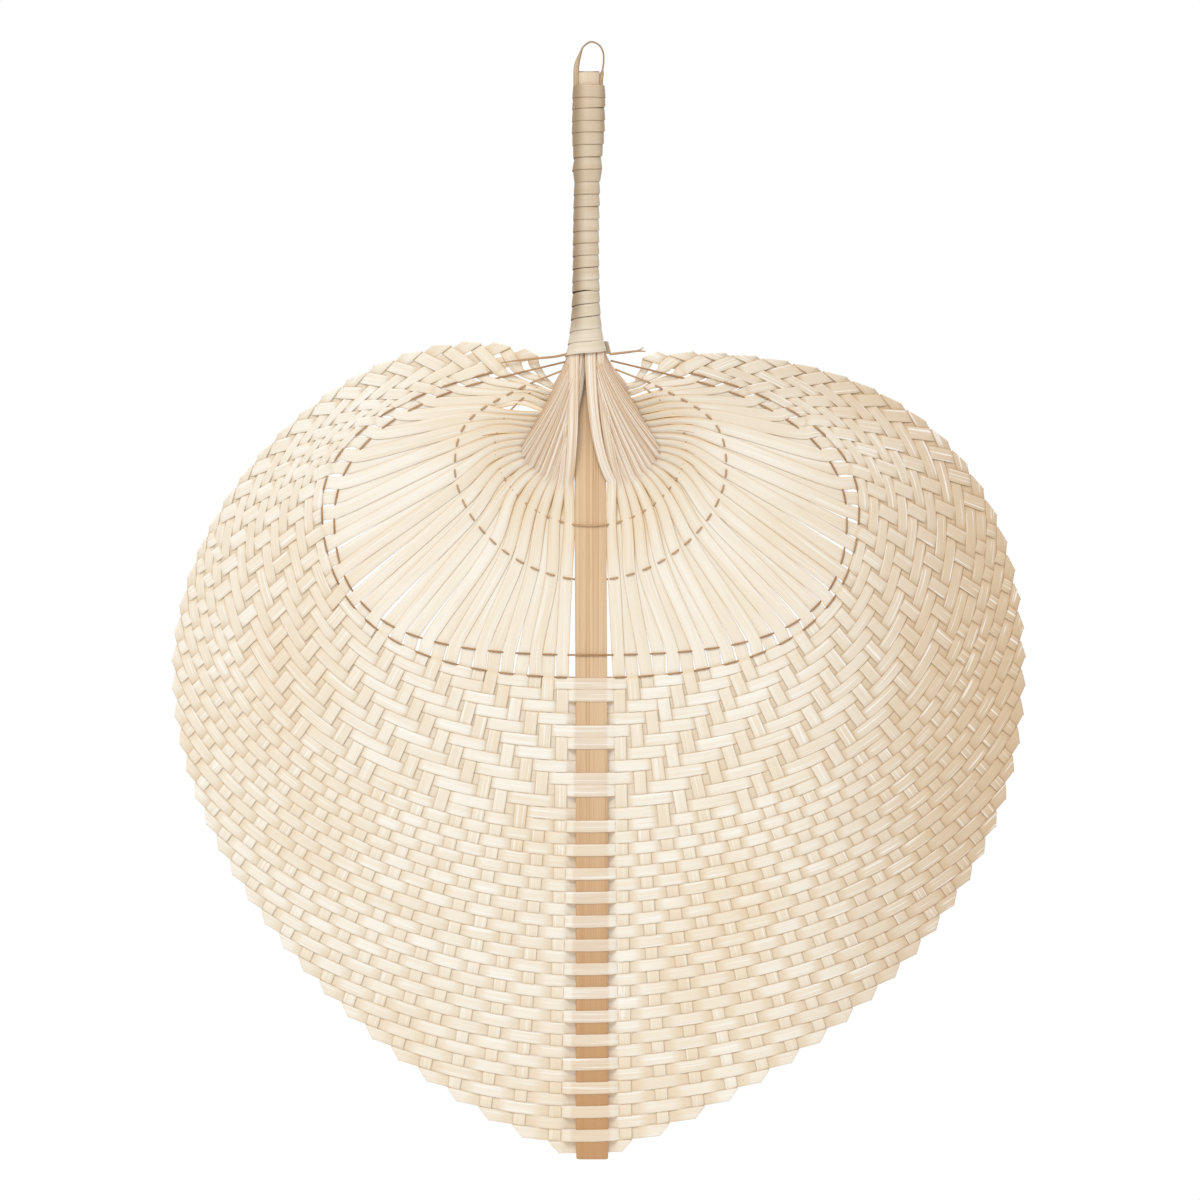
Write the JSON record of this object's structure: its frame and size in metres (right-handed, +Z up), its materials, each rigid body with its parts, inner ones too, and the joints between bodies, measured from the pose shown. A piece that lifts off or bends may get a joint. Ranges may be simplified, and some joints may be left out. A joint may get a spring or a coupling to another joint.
{
  "type": "woven bamboo hand fan",
  "caption": "Leaf-shaped woven bamboo hand fan: thin strips folded at the rim run over a spine and gather at a bound handle with a hanging loop.",
  "frame": {"origin": "the point inside the top of the hanging loop, where a hook or nail carries the fan", "axes": "+Z up along the handle and spine, +X to the fan's right seen from the front, -Y towards the viewer of the front"},
  "size_m": [0.299, 0.0116, 0.3913],
  "materials": {
    "spine": "split bamboo with fine lengthwise grain, unvarnished",
    "strip": "shaved pale bamboo strip, satin, slightly translucent",
    "binding": "flat bamboo strip with smooth skin, satin",
    "lace": "thin twisted bamboo fibre, matte",
    "loop": "thin dark bamboo strip, satin"
  },
  "bodies": {
    "root": {"spine": "spine", "handle_binding": "binding", "hanging_loop": "loop", "strip_01": "strip", "strip_02": "strip", "strip_03": "strip", "strip_04": "strip", "strip_05": "strip", "strip_06": "strip", "strip_07": "strip", "strip_08": "strip", "strip_09": "strip", "strip_10": "strip", "strip_11": "strip", "strip_12": "strip", "strip_13": "strip", "strip_14": "strip", "strip_15": "strip", "strip_16": "strip", "strip_17": "strip", "strip_18": "strip", "strip_19": "strip", "strip_20": "strip", "strip_21": "strip", "strip_22": "strip", "strip_23": "strip", "strip_24": "strip", "strip_25": "strip", "strip_26": "strip", "strip_27": "strip", "strip_28": "strip", "strip_29": "strip", "strip_30": "strip", "strip_31": "strip", "strip_32": "strip", "strip_33": "strip", "strip_34": "strip", "strip_35": "strip", "strip_36": "strip", "strip_37": "strip", "strip_38": "strip", "strip_39": "strip", "strip_40": "strip", "lace_inner": "lace", "lace_middle": "lace", "lace_outer": "lace", "lace_weave_edge": "lace", "lace_end_left": "lace", "lace_end_right": "lace"}
  },
  "joints": []
}
